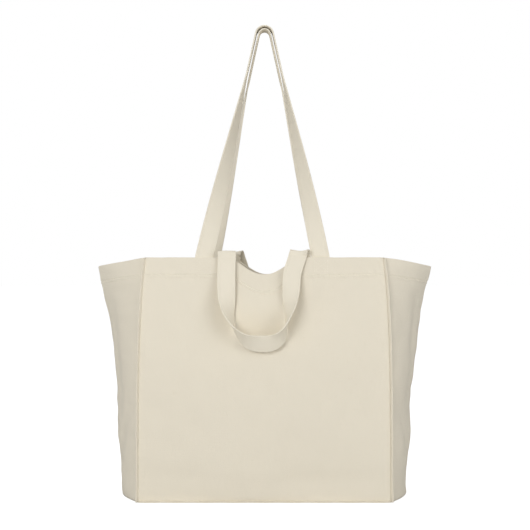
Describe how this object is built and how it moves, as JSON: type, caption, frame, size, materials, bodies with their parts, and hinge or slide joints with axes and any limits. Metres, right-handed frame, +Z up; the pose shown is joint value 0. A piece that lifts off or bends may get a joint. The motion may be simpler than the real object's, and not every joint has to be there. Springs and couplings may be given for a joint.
{
  "type": "tote bag",
  "caption": "Open canvas tote bag with side gussets, a flat base, long shoulder handles and short hand handles.",
  "frame": {"origin": "middle of the base, on the ground", "axes": "+Z up, the front panel faces -Y, the gussets are on the +X and -X sides"},
  "size_m": [0.471, 0.221, 0.6662],
  "materials": {
    "canvas": "natural plain-weave cotton canvas",
    "hem": "turned canvas, slightly warmer in the fold",
    "strap": "folded canvas strap",
    "thread": "cotton sewing thread"
  },
  "bodies": {
    "bag": {"front_panel": "canvas", "back_panel": "canvas", "left_gusset": "canvas", "right_gusset": "canvas", "base_panel": "canvas", "front_hem": "hem", "back_hem": "hem", "left_hem": "hem", "right_hem": "hem", "front_left_seam": "canvas", "front_right_seam": "canvas", "back_left_seam": "canvas", "back_right_seam": "canvas", "front_base_seam": "canvas", "back_base_seam": "canvas", "long_ends_front": "strap", "long_ends_back": "strap", "short_ends_front": "strap", "short_ends_back": "strap", "hem_stitching": "thread", "handle_stitching": "thread"},
    "long_front": {"long_handle_front": "strap"},
    "long_back": {"long_handle_back": "strap"},
    "short_front": {"short_handle_front": "strap"},
    "short_back": {"short_handle_back": "strap"}
  },
  "joints": [
    {"name": "long_front_swing", "type": "hinge", "parent": "bag", "child": "long_front", "pos_m": [0, -0.05676, 0.3365], "axis": [1, 0, 0], "range_deg": [0, 150]},
    {"name": "long_back_swing", "type": "hinge", "parent": "bag", "child": "long_back", "pos_m": [0, 0.05676, 0.3365], "axis": [-1, 0, 0], "range_deg": [0, 150]},
    {"name": "short_front_lift", "type": "hinge", "parent": "bag", "child": "short_front", "pos_m": [0, -0.0586, 0.34], "axis": [-1, 0, 0], "range_deg": [0, 150]},
    {"name": "short_back_lift", "type": "hinge", "parent": "bag", "child": "short_back", "pos_m": [0, 0.0586, 0.34], "axis": [1, 0, 0], "range_deg": [0, 150]}
  ]
}
